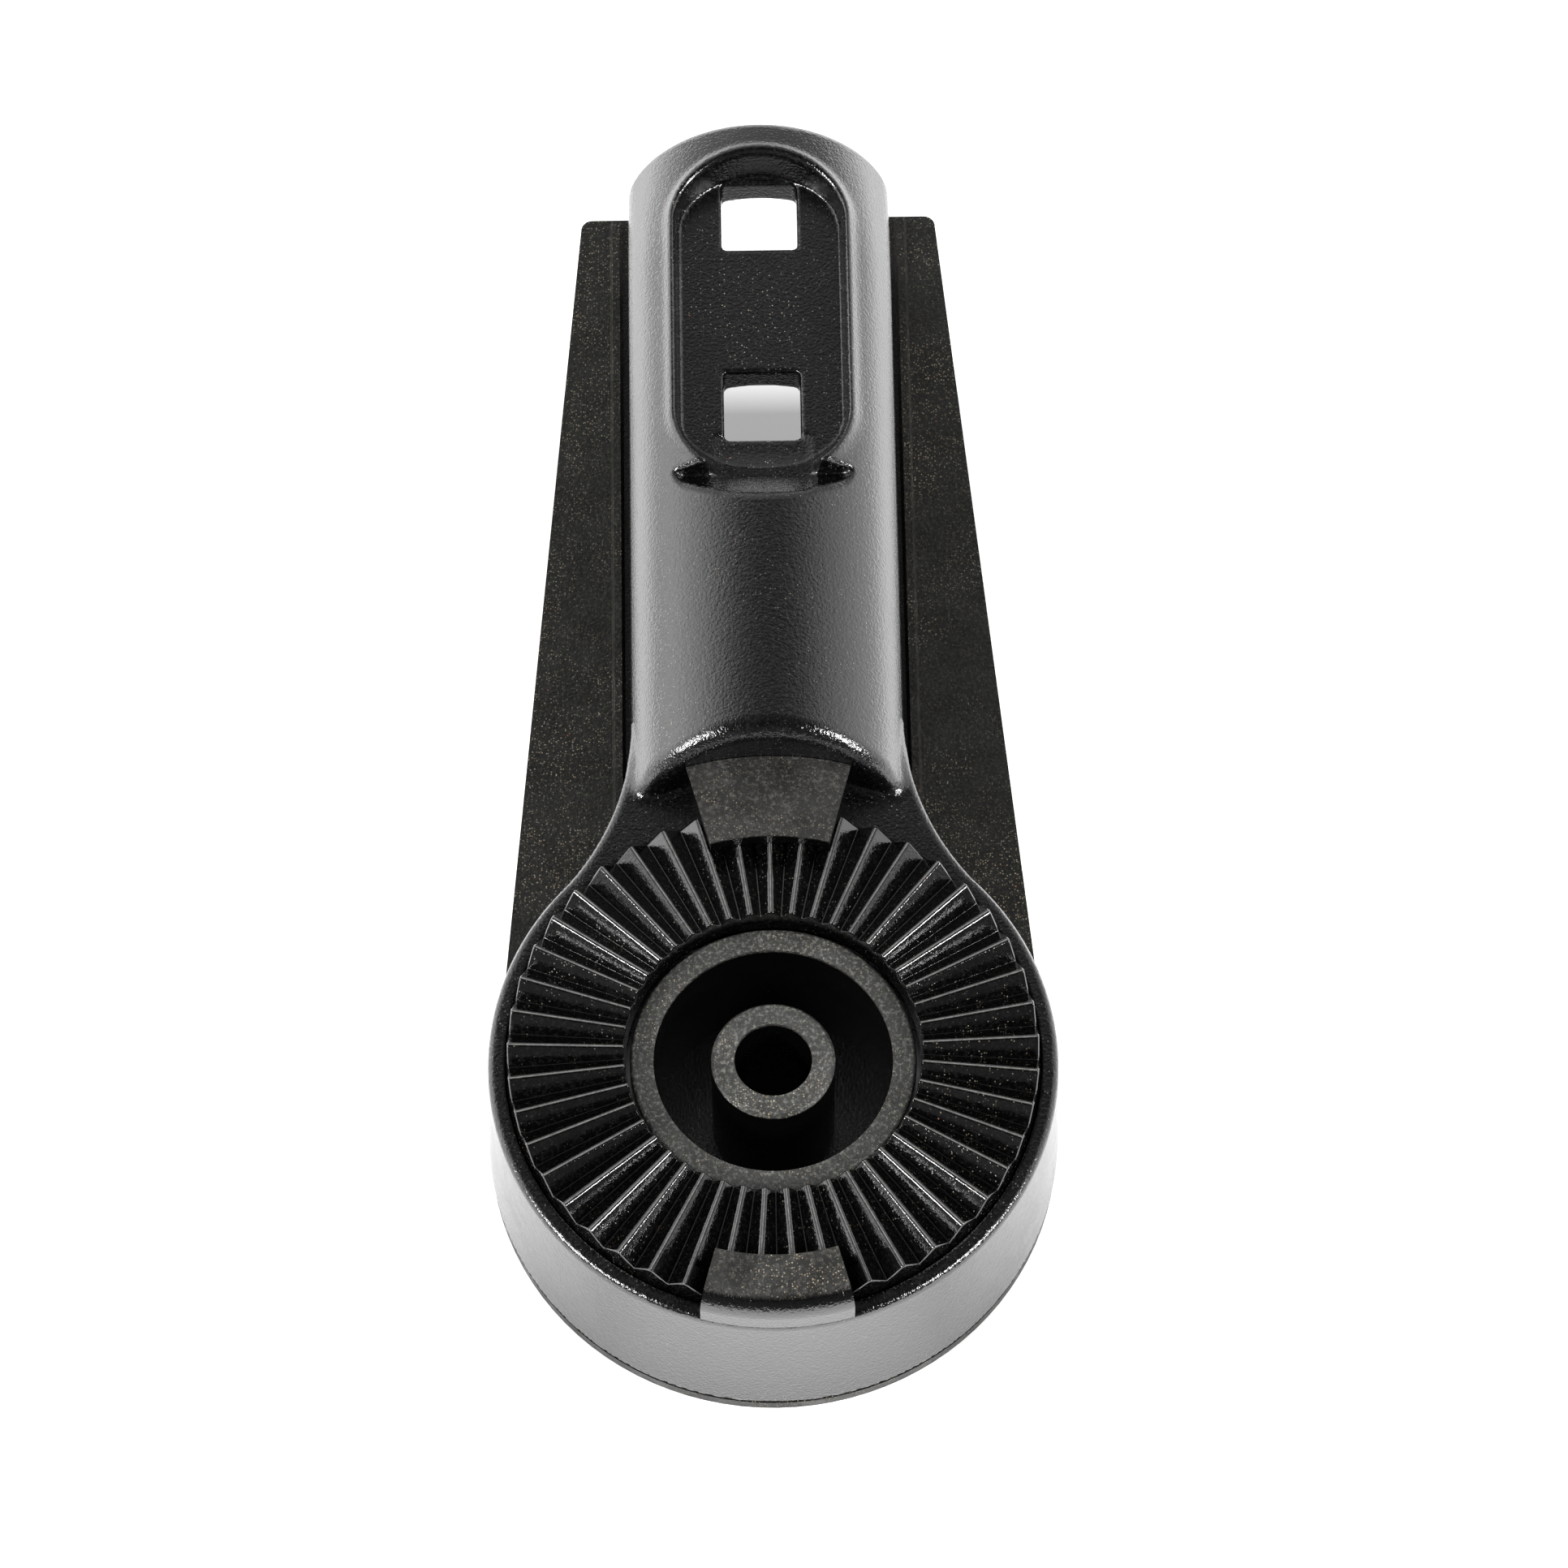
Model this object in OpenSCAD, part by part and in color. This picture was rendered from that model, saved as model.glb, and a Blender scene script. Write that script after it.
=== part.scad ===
// Toothed-hub crank operator arm on a tapered base plate.
// Z = 0 is the top face of the pivot boss; +Y runs along the arm, +Z points up.

/* [Hub] */
// radius of the hub at its top edge, mm
hub_r = 30; // [24:0.5:40]
// height from the boss face down to the base plate, mm
hub_h = 20.9; // [16:0.1:30]
// outward draft of the hub skirt over its height, mm
skirt_draft = 0.7; // [0:0.1:2]
// rounding of the hub's top edge, mm
edge_r = 1.2; // [0.4:0.1:2]

/* [Arm] */
// half width of the arm, mm
arm_hw = 14.7; // [11:0.1:18]
// distance from the pivot to the arm's end, mm
arm_end = 111; // [90:0.5:130]
// height of the arm's crown above the boss face, mm
crown_z = 10.6; // [6:0.1:14]
// radius of the arm's barrel-shaped crown, mm
crown_r = 15.2; // [15:0.1:20]
// wall thickness of the arm, mm
wall = 2.8; // [2:0.1:4]
// distance from the pivot to the near end of the raised crown, mm
crown_start = 33.2; // [31:0.1:38]

/* [Bolt pocket] */
// height of the pocket floor above the boss face, mm
floor_z = 4; // [2:0.1:7]
// half width of the pocket floor, mm
floor_hw = 9; // [6:0.1:10]
// side of each square bolt hole, mm
square = 8.4; // [6:0.1:10]
// distance from the pivot to the near square hole, mm
hole_y = 76.4; // [70:0.1:80]
// distance between the two square holes, mm
hole_gap = 24; // [16:0.5:30]

/* [Toothed ring] */
// number of teeth round the face
teeth = 45; // [24:1:60]
// height of the tooth crests above the boss face, mm
crest_z = 3; // [2:0.1:4]
// tooth depth at the outer end, mm
tooth_h = 1.9; // [1:0.1:2.5]
// flat left on each crest, mm
crest_land = 0.3; // [0.2:0.05:0.8]
// how far the ring can be pushed in, mm
ring_travel = 1.6; // [1:0.1:1.8]

/* [Pivot cup] */
// outer radius of the cup's collar, mm
collar_r = 15.1; // [12:0.1:18]
// inner radius of the cup's well, mm
well_r = 12.6; // [10:0.02:15]
// height of the well floor below the boss face, mm
well_d = 18; // [12:0.1:18.5]
// outer radius of the centre boss, mm
boss_r = 6.54; // [5:0.02:8]
// radius of the pivot bore, mm
bore_r = 4.1; // [3:0.05:5]

/* [Base plate] */
// thickness of the base plate, mm
plate_t = 1.5; // [1:0.1:3]
// distance from the pivot to the plate's far edge, mm
plate_end = 115; // [100:0.5:130]
// half width of the plate's far edge, mm
plate_hw = 20.4; // [18:0.1:26]
// half width of the open slot under the bolt holes, mm
slot_hw = 8; // [5:0.5:11]
// height of the two ribs beside the arm, mm
rib_h = 1; // [0.5:0.1:1.2]

/* [Swing] */
// swing allowed each way by the stop pin, degrees
swing = 110; // [60:5:120]

/* [Hidden] */
$fn = 96;
eps = 0.5;                          // overrun of cutters past a face
big = 60;                           // reach of half-space cutters
fit = 0.05;                         // radial clearance of a running fit
plate_top = -hub_h;
plate_bot = plate_top - plate_t;
plate_r = hub_r + 0.6;
skirt_z = plate_top + 0.4;          // foot of the hub skirt, just above the plate
arm_z = plate_top + rib_h + 0.4;    // underside of the arm, above the ribs
crown_c = crown_z - crown_r;        // height of the crown's axis
fillet_y = 40;                      // where the flare meets the arm's side
fillet_r = (arm_hw * arm_hw + fillet_y * fillet_y - hub_r * hub_r) / (2 * (hub_r - arm_hw));
tip_r = 3;                          // plan corners of the arm's end
tip_round = 1.2;                    // rounding over the arm's end
fall_y = 95;                        // where the crown starts to fall towards its end
end_z = 6.6;                        // crown height at the arm's end
fall = atan((crown_z - end_z) / (arm_end - fall_y));
collar_round = 0.4;                 // rounding of the collar's top edge
// toothed ring and its seat
seat_r = 28.15;                     // recess that the ring slides in
web_z = -6;                         // top of the web under the ring
web_t = 2.5;
ring_r = seat_r - fit;
ring_top_r = 27.9;                  // ring radius at the crests
ring_in = 15.6;                     // inner radius of the toothed face
ring_bot = -3.2;
lip_z = -1;                         // underside of the ring's inner lip
lip_r = 17.6;
pitch_out = 360 / teeth;
groove_w_out = 2 * PI * ring_top_r / teeth - crest_land;
groove_w_in = 2 * PI * ring_in / teeth - crest_land * 0.8;
flank = groove_w_out / 2 / tooth_h; // run of a flank per mm of depth
tooth_h_in = groove_w_in / 2 / flank;
groove_tilt = atan((tooth_h - tooth_h_in) / (ring_top_r - ring_in));
// lugs
lug_a = 15.4;                       // half angle covered by a lug
lug_in = 23.8;
lug_top = 4.8;
lug_under = crest_z + fit;
stem_in = 25;
notch_in = stem_in - 0.25;
notch_a = lug_a + 0.5;
lug_round = 2.5;                    // rounding over the front lug's outer edge
screw_pos = 26.05;
screw_r = 1;
screw_head_r = 1.9;
screw_head_h = 1.6;
screw_top = -1.5;
// bearing of the housing on the cup
sleeve_in = 16.2;
sleeve_out = 18.8;
sleeve_z = plate_top + 0.8;
bush_r = collar_r + fit;
bush_h = 4.8;
clip_z = -5.4;
clip_t = 1;
clip_in = 14.2;
clip_out = 16.6;
clip_gap = 9;
washer_out = 17.3;
skirt_in = 28;
// spring under the ring
seat_in = 18.4;
seat_out = 24.4;
seat_t = 0.5;
spring_t = 0.6;
// stop
stop_pos = 23.4;
stop_r = 2;
stop_top = -12;
stop_rib_t = 3;
stop_rib_z = -18;
stop_rib_a = swing + asin((stop_r + stop_rib_t / 2) / stop_pos) + 0.4;
// rivets
rivet_pos = 9.7;
rivet_r = 1.25;
rivet_head_r = 2.1;
rivet_top = -well_d - 0.9;
rivet_n = 4;
// plate ribs
rib_in = 15.7;
rib_w = 1.5;
rib_start = 36;
corner_r = 1.3;
slot_start = 75;
pocket_far = hole_y + 19.9;         // centre of the pocket's round far end
pocket_near = hole_y + 1.1;         // centre of the pocket's round near end
ramp_y = pocket_near - floor_hw;    // foot of the pocket's ramp
ramp_hw = 9.9;
ramp_throat = 6.4;                  // half width of the ramp where it leaves the pocket
ramp_horn = 1.8;                    // from the ramp's foot to where it widens
pocket_slope = 0.15;                // outward lean of the pocket walls per mm of height
under_r = 11.6;                     // arched underside of the pocket floor
under_z = 0.6;
hollow_y0 = 36.5;

gloss_black = [0.03, 0.03, 0.032];
satin_black = [0.07, 0.07, 0.07];
plate_black = [0.1, 0.095, 0.085];
steel = [0.55, 0.56, 0.58];
polymer = [0.78, 0.76, 0.7];
bronze = [0.6, 0.47, 0.28];

// outline that tapers from the hub's circle to the straight far edge
module plate_outline() {
    lean = atan((hub_r + 0.6 - plate_hw) / plate_end);
    tangent = [plate_r * cos(lean), plate_r * sin(lean)];
    circle(r = plate_r);
    polygon([[-tangent[0], tangent[1]], [0, 0], tangent,
             [plate_hw + 0.1, plate_end - corner_r], [plate_hw - corner_r, plate_end],
             [corner_r - plate_hw, plate_end], [-plate_hw - 0.1, plate_end - corner_r]]);
    for (s = [-1, 1]) translate([s * (plate_hw + 0.1 - corner_r), plate_end - corner_r])
        circle(r = corner_r);
}

// straight rib with a narrowed top, running along Y
module plate_rib(x) {
    translate([x, rib_start, plate_top]) rotate([-90, 0, 0])
        linear_extrude(plate_end - corner_r / 2 - rib_start)
            polygon([[0, eps], [0, 0], [0.35, -rib_h], [rib_w - 0.35, -rib_h], [rib_w, 0], [rib_w, eps]]);
}

module base_plate() {
    color(plate_black) difference() {
        union() {
            translate([0, 0, plate_bot]) linear_extrude(plate_t) plate_outline();
            plate_rib(rib_in);
            plate_rib(-rib_in - rib_w);
        }
        translate([0, 0, plate_bot - eps]) linear_extrude(plate_t + 2 * eps) {
            circle(r = bore_r + 0.2);
            translate([0, slot_start]) circle(r = slot_hw);
            translate([-slot_hw, slot_start]) square([2 * slot_hw, plate_end]);
            translate([0, -stop_pos]) circle(r = stop_r);
            for (i = [0 : rivet_n - 1]) rotate(45 + i * 360 / rivet_n)
                translate([rivet_pos, 0]) circle(r = rivet_r);
        }
        for (i = [0 : rivet_n - 1]) rotate(45 + i * 360 / rivet_n)
            translate([rivet_pos, 0, plate_bot])
                cylinder(h = rivet_head_r - rivet_r, r1 = rivet_head_r, r2 = rivet_r);
    }
}

module pivot_cup() {
    color(satin_black) difference() {
        union() {
            difference() {
                translate([0, 0, plate_top]) cylinder(h = hub_h - collar_round, r = collar_r);
                translate([0, 0, -well_d]) cylinder(h = well_d + eps, r = well_r);
            }
            // collar's top edge, rounded outside
            rotate_extrude() {
                translate([collar_r - collar_round, -collar_round]) circle(r = collar_round);
                translate([well_r, -1]) square([collar_r - collar_round - well_r, 1]);
            }
            translate([0, 0, -well_d - eps]) cylinder(h = well_d + eps - 0.4, r = boss_r);
            translate([0, 0, -0.4]) cylinder(h = 0.4, r1 = boss_r, r2 = boss_r - 0.3);
        }
        translate([0, 0, plate_top - eps]) cylinder(h = hub_h + 2 * eps, r = bore_r);
        // groove for the retaining ring
        translate([0, 0, clip_z]) difference() {
            cylinder(h = clip_t, r = collar_r + eps);
            translate([0, 0, -eps]) cylinder(h = clip_t + 2 * eps, r = clip_in);
        }
        for (i = [0 : rivet_n - 1]) rotate(45 + i * 360 / rivet_n)
            translate([rivet_pos, 0, plate_top - eps])
                cylinder(h = rivet_top - plate_top + eps, r = rivet_r);
    }
}

module cup_rivets() {
    color(steel) for (i = [0 : rivet_n - 1]) rotate(45 + i * 360 / rivet_n)
        translate([rivet_pos, 0, plate_bot]) {
            cylinder(h = rivet_top - plate_bot, r = rivet_r);
            cylinder(h = rivet_head_r - rivet_r, r1 = rivet_head_r, r2 = rivet_r);
        }
}

module stop_pin() {
    color(steel) translate([0, -stop_pos, plate_bot]) {
        cylinder(h = stop_top - plate_bot - 0.5, r = stop_r);
        translate([0, 0, stop_top - plate_bot - 0.5]) cylinder(h = 0.5, r1 = stop_r, r2 = stop_r - 0.5);
    }
}

// flat ring between two radii and two heights
module flat_ring(inner, outer, z0, z1) {
    translate([0, 0, z0]) difference() {
        cylinder(h = z1 - z0, r = outer);
        translate([0, 0, -eps]) cylinder(h = z1 - z0 + 2 * eps, r = inner);
    }
}

module thrust_washer() {
    color(polymer) flat_ring(collar_r + 0.1, sleeve_out + 1.4, plate_top, sleeve_z - 0.05);
}

module lower_bush() {
    color(bronze) flat_ring(bush_r, sleeve_in, sleeve_z, sleeve_z + bush_h);
}

module upper_bush() {
    color(bronze) flat_ring(bush_r, sleeve_in, web_z - bush_h, web_z);
}

module friction_washer() {
    color(polymer) flat_ring(collar_r + 0.1, washer_out, web_z + 0.05, clip_z);
}

module retaining_ring() {
    color(steel) difference() {
        flat_ring(clip_in, clip_out, clip_z, clip_z + clip_t);
        translate([-clip_gap / 2, 0, clip_z - eps]) cube([clip_gap, clip_out + eps, clip_t + 2 * eps]);
    }
}

// plan of the hub's flare into the arm, with its two concave sides
module flare_outline() {
    reach = fillet_r + arm_hw;
    difference() {
        polygon([[0, 0], [reach, fillet_y], [-reach, fillet_y]]);
        for (s = [-1, 1]) translate([s * reach, fillet_y]) circle(r = fillet_r);
    }
}

// plan of the arm with its rounded far corners
module arm_outline(hw, y0, y1, r) {
    translate([-hw, y0]) square([2 * hw, y1 - r - y0]);
    translate([r - hw, y0]) square([2 * (hw - r), y1 - y0]);
    for (s = [-1, 1]) translate([s * (hw - r), y1 - r]) circle(r = r);
}

module hub_shell() {
    rotate_extrude() {
        polygon([[0, skirt_z], [hub_r + skirt_draft, skirt_z], [hub_r, -edge_r], [0, -edge_r]]);
        translate([0, -edge_r - eps]) square([hub_r - edge_r, edge_r + eps]);
        translate([hub_r - edge_r, -edge_r]) circle(r = edge_r);
    }
}

// barrel-topped arm with a crown that starts away from the hub
module arm_body() {
    translate([0, 0, arm_z]) linear_extrude(-arm_z) {
        flare_outline();
        arm_outline(arm_hw, hub_r / 2, arm_end, tip_r);
    }
    difference() {
        intersection() {
            translate([0, 0, crown_c]) rotate([-90, 0, 0]) cylinder(h = arm_end, r = crown_r);
            translate([0, 0, -eps]) linear_extrude(crown_z + 2 * eps)
                arm_outline(arm_hw, 0, arm_end, tip_r);
        }
        translate([0, 0, -2 * eps]) cylinder(h = crown_z + 4 * eps, r = crown_start);
        // crown falling towards the far end, and the rounding over its edge
        translate([-big / 2, fall_y, crown_z]) rotate([-fall, 0, 0]) cube([big, big, big]);
        translate([0, arm_end - tip_round, end_z - tip_round]) difference() {
            translate([-big / 2, 0, 0]) cube([big, tip_round + eps, tip_round + eps]);
            rotate([0, 90, 0]) cylinder(h = big, r = tip_round, center = true);
        }
    }
}

// pocket with leaning walls, round ends and a ramp towards the hub
module bolt_pocket() {
    rise = crown_z - floor_z + eps;
    top_hw = floor_hw + rise * pocket_slope;
    translate([0, pocket_near, floor_z]) rotate([90, 0, 180]) linear_extrude(pocket_far - pocket_near)
        polygon([[-floor_hw, 0], [floor_hw, 0], [top_hw, rise], [-top_hw, rise]]);
    for (y = [pocket_near, pocket_far])
        translate([0, y, floor_z]) cylinder(h = rise, r1 = floor_hw, r2 = top_hw);
    ramp(ramp_hw, ramp_y - ramp_horn);
    ramp(ramp_throat, pocket_near);
}

// space over a 45 degree slope that rises towards the hub, as far as y1
module ramp(hw, y1) {
    intersection() {
        translate([-hw, ramp_y, floor_z]) rotate([-45, 0, 0]) translate([0, -big / 3, 0])
            cube([2 * hw, big / 3, big / 3]);
        translate([-hw, y1 - big, floor_z]) cube([2 * hw, big, big]);
    }
}

module arm_housing() {
    color(gloss_black) difference() {
        union() {
            hub_shell();
            arm_body();
        }
        // recess for the toothed ring and the clear well in the web
        translate([0, 0, web_z]) cylinder(h = big, r = seat_r);
        translate([0, 0, skirt_z - eps]) cylinder(h = hub_h, r = sleeve_in);
        // open underside of the hub, leaving the bearing sleeve and two stop ribs
        difference() {
            flat_ring(sleeve_out, skirt_in, skirt_z - eps, web_z - web_t);
            for (s = [-1, 1]) rotate(-90 + s * stop_rib_a)
                translate([sleeve_out - eps, -stop_rib_t / 2, stop_rib_z])
                    cube([skirt_in - sleeve_out + 2 * eps, stop_rib_t, web_z - stop_rib_z]);
        }
        translate([0, 0, skirt_z - eps]) cylinder(h = sleeve_z - skirt_z + eps, r = sleeve_out + eps);
        // hollow arm, open at its far end: barrel under the crown, arched floor under the pocket
        translate([wall - arm_hw, hollow_y0, arm_z - eps])
            cube([2 * (arm_hw - wall), arm_end, crown_c - arm_z + eps]);
        translate([0, hollow_y0, crown_c]) rotate([-90, 0, 0])
            cylinder(h = ramp_y - 11 - hollow_y0, r = arm_hw - wall);
        intersection() {
            translate([0, hollow_y0, under_z - under_r]) rotate([-90, 0, 0])
                cylinder(h = arm_end - wall - hollow_y0, r = under_r);
            translate([-arm_hw, hollow_y0, arm_z])
                cube([2 * arm_hw, arm_end - wall - hollow_y0, hub_h + crown_z]);
        }
        bolt_pocket();
        for (y = [hole_y, hole_y + hole_gap])
            translate([-square / 2, y - square / 2, arm_z]) cube([square, square, crown_z - arm_z]);
        for (s = [-1, 1])
            translate([0, s * screw_pos, web_z - web_t - eps]) cylinder(h = web_t + 2 * eps, r = screw_r);
    }
}

// wedge of the circle that a lug covers; s is -1 for the front, +1 for the rear
module lug_sector(s, half, r0, r1) {
    difference() {
        polygon([[0, 0], [big * tan(half), s * big], [-big * tan(half), s * big]]);
        circle(r = r0);
        difference() { circle(r = 2 * big); circle(r = r1); }
    }
}

module tooth_ring() {
    color(gloss_black) difference() {
        union() {
            translate([0, 0, ring_bot]) cylinder(h = -ring_bot, r = ring_r);
            cylinder(h = crest_z, r1 = ring_r, r2 = ring_top_r);
        }
        translate([0, 0, ring_bot - eps]) cylinder(h = crest_z - ring_bot + 2 * eps, r = ring_in);
        translate([0, 0, ring_bot - eps]) cylinder(h = lip_z - ring_bot + eps, r = lip_r);
        // one V groove between each pair of crests, deeper outwards
        for (i = [0 : teeth - 1]) rotate(90 + (i + 0.5) * pitch_out)
            translate([ring_in, 0, crest_z - tooth_h_in]) rotate([0, groove_tilt, 0])
                translate([-2, 0, 0]) rotate([90, 0, 90]) linear_extrude(ring_r - ring_in + 4)
                    polygon([[0, 0], [3 * tooth_h * flank, 3 * tooth_h], [-3 * tooth_h * flank, 3 * tooth_h]]);
        // the two lugs pass through these notches, so the ring cannot turn
        translate([0, 0, ring_bot - eps]) linear_extrude(crest_z - ring_bot + 2 * eps)
            for (s = [-1, 1]) lug_sector(s, notch_a, notch_in, big);
    }
}

module ring_spring() {
    low = web_z + seat_t;
    color(steel) rotate_extrude()
        polygon([[seat_in, ring_bot], [seat_in + spring_t, ring_bot], [seat_out - 0.2, low + spring_t],
                 [seat_out - 0.2, low], [seat_out - 0.2 - spring_t, low], [seat_in, ring_bot - spring_t]]);
}

module seat_washer() {
    color(steel) flat_ring(seat_in - 0.2, seat_out, web_z, web_z + seat_t);
}

module lug_hole(s) {
    translate([0, s * screw_pos, web_z - eps]) cylinder(h = screw_top - web_z + eps, r = screw_r);
}

module lug_front() {
    color(satin_black) difference() {
        intersection() {
            rotate_extrude() {
                polygon([[stem_in, web_z], [seat_r - fit, web_z], [seat_r - fit, 0], [hub_r, 0],
                         [hub_r, lug_top - lug_round], [hub_r - lug_round, lug_top - lug_round],
                         [hub_r - lug_round, lug_top], [lug_in, lug_top], [lug_in, lug_under],
                         [stem_in, lug_under]]);
                translate([hub_r - lug_round, lug_top - lug_round]) circle(r = lug_round);
            }
            translate([0, 0, web_z - eps]) linear_extrude(lug_top - web_z + 2 * eps)
                lug_sector(-1, lug_a, 1, big);
        }
        lug_hole(-1);
    }
}

module lug_rear() {
    color(satin_black) difference() {
        intersection() {
            rotate_extrude()
                polygon([[stem_in, web_z], [seat_r - fit, web_z], [seat_r - fit, 0], [crown_start - fit, 0],
                         [crown_start - fit, lug_top], [lug_in, lug_top], [lug_in, lug_under],
                         [stem_in, lug_under]]);
            translate([0, 0, web_z - eps]) linear_extrude(lug_top - web_z + 2 * eps)
                lug_sector(1, lug_a, 1, big);
        }
        lug_hole(1);
    }
}

module lug_screws() {
    color(steel) for (s = [-1, 1]) translate([0, s * screw_pos, web_z - web_t]) {
        cylinder(h = screw_top - 0.3 - web_z + web_t, r = screw_r);
        translate([0, 0, -screw_head_h]) difference() {
            cylinder(h = screw_head_h, r = screw_head_r);
            translate([0, 0, -eps]) cylinder(h = screw_head_h / 2 + eps, r = screw_r, $fn = 6);
        }
    }
}

base_plate();
pivot_cup();
cup_rivets();
stop_pin();
thrust_washer();
lower_bush();
upper_bush();
friction_washer();
retaining_ring();
arm_housing();
tooth_ring();
ring_spring();
seat_washer();
lug_front();
lug_rear();
lug_screws();
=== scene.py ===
"""Toothed-hub operator arm: detailed surfaces, materials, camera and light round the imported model."""
import math

import bpy
import numpy as np
import openvdb
from mathutils import Matrix, Vector


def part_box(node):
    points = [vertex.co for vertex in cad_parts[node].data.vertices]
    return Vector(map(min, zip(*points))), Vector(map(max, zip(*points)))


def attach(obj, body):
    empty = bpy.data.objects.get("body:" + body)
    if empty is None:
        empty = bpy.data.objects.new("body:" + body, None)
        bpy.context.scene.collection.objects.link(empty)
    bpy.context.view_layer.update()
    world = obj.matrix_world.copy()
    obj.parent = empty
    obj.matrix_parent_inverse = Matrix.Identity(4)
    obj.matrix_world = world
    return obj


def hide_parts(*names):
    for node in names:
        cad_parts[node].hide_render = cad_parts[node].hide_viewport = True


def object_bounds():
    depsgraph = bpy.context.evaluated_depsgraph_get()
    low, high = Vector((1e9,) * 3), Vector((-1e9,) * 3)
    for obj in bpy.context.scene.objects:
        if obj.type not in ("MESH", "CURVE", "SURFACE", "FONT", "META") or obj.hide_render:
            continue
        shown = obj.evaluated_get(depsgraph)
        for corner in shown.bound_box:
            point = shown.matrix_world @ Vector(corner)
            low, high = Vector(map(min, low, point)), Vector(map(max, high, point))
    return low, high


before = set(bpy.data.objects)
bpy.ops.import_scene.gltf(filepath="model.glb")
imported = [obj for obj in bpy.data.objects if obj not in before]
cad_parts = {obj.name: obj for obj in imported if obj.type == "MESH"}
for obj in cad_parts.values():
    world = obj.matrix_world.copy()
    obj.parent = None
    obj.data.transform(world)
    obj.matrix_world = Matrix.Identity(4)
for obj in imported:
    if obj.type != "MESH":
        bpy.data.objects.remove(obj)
cad_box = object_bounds()
MM = 0.001


# ---------------------------------------------------------------- camera

ELEVATION, TURN = math.radians(64.32), math.radians(0.95)
DISTANCE, AIM_RIGHT, AIM_UP = 658.3 * MM, 1.13 * MM, 28.97 * MM
LENS, SENSOR = 143.85, 36


def make_camera():
    """A long lens looking down on the hub from the front, with the arm running away."""
    spin = Matrix.Rotation(-TURN, 3, "Z")
    right = spin @ Vector((1, 0, 0))
    up = spin @ Vector((0, math.sin(ELEVATION), math.cos(ELEVATION)))
    back = spin @ Vector((0, -math.cos(ELEVATION), math.sin(ELEVATION)))
    camera = bpy.data.objects.new("camera", bpy.data.cameras.new("camera"))
    bpy.context.scene.collection.objects.link(camera)
    place = right * AIM_RIGHT + up * AIM_UP + back * DISTANCE
    camera.matrix_world = Matrix.Translation(place) @ Matrix((right, up, back)).transposed().to_4x4()
    camera.data.sensor_width = SENSOR
    camera.data.lens = LENS
    bpy.context.scene.camera = camera


# ---------------------------------------------------------------- distance fields, in millimetres

HUB_R, SKIRT_DRAFT, SKIRT_IN = 30.0, 0.7, 28.0
PLATE_TOP = -20.9
SKIRT_Z, ARM_Z = PLATE_TOP + 0.4, PLATE_TOP + 1.4  # feet of the hub skirt and of the arm
EDGE_R, FOOT_R, DECK_R, HIDDEN_R = 0.8, 0.4, 0.9, 0.3  # roundings of rim, feet, flare and hidden edges
# arm
ARM_HW, ARM_END, WALL = 14.7, 111.0, 2.8
CROWN_Z, CROWN_START, CROWN_R, END_R = 10.4, 33.2, 2.2, 1.2
ARCH_Z = -3.0  # where the crown's arch runs into the arm's upright sides
SAG_Y, SAG, END_CURVE = 94.0, 0.0115, 1 / 110  # the crown falls and rounds off towards its end
FILLET_Y = 40.0  # where the flare meets the arm's side
FILLET_R = (ARM_HW**2 + FILLET_Y**2 - HUB_R**2) / (2 * (HUB_R - ARM_HW))
CREASE_Y, CREASE_LONG, CREASE_R, CREASE_MIN = 39.5, 4.0, 0.9, 0.05  # inside corner under the crown's start
# bolt pocket
FLOOR_Z, FLOOR_HW, SLOPE, FLOOR_R = 4.0, 9.0, 0.13, 0.25
HOLE_Y, HOLE_GAP, SQUARE, SQUARE_R = 76.4, 24.0, 8.4, 0.6
HOLE_RIM_R, HOLE_TOP = 0.35, FLOOR_Z + 0.7
POCKET_NEAR, NEAR_LONG, NEAR_SLOPE = HOLE_Y - 2.0, 5.9, 0.75
POCKET_FAR, FAR_LONG, FAR_SLOPE = HOLE_Y + 22.0, 7.1, 0.08
RAMP_Y, RAMP_HW, RAMP_HORN, RAMP_R = POCKET_NEAR - NEAR_LONG, 9.9, 1.8, 1.5
THROAT_HW, THROAT_LONG, THROAT_R = 5.6, 4.0, 1.2
RIM_R, RIM_LONG = 0.6, 6.0  # rim rounding, twice as large over the far end
BEAD_H, BEAD_W, BEAD_OUT = 0.45, 0.75, 0.4  # low raised bead round the pocket
BEAD_FADE_Z, BEAD_FADE_Y = 2.0, 4.0
# recess of the toothed ring and bearing sleeve
SEAT_R, WEB_Z, WEB_T = 28.15, -6.0, 2.5
SLEEVE_IN, SLEEVE_OUT, SLEEVE_Z, SLEEVE_GAP = 16.2, 18.8, PLATE_TOP + 0.8, 0.5
STOP_RIB_Z, STOP_RIB_HW = -18.0, 1.5
STOP_RIB_A = 110 + math.degrees(math.asin(3.5 / 23.4)) + 0.4  # swing, half width of rib and pin, play
SCREW_POS, SCREW_R, SCREW_LONG = 26.05, 1.0, 4.0
# hollow underside of the arm
HOLLOW_C, HOLLOW_Y, HOLLOW_R = -4.6, 36.5, 0.8
HOLLOW_CORNER_R, HOLLOW_EDGE_R, CHANNEL_R = 2.0, 0.4, 1.5
BARREL_END = RAMP_Y - 11
UNDER_R, UNDER_Z = 11.6, 0.6


def both(a, b, r):
    """Overlap of two solids, with their shared convex edge rounded to radius r."""
    return np.minimum(-r, np.maximum(a, b)) + np.hypot(np.maximum(a + r, 0), np.maximum(b + r, 0))


def join(a, b, r):
    """Union of two solids, with the inside corner filled to radius r."""
    return np.maximum(r, np.minimum(a, b)) - np.hypot(np.maximum(r - a, 0), np.maximum(r - b, 0))


def without(a, b, r):
    """Solid a with b cut away and the rim rounded to radius r."""
    return both(a, -b, r)


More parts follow.
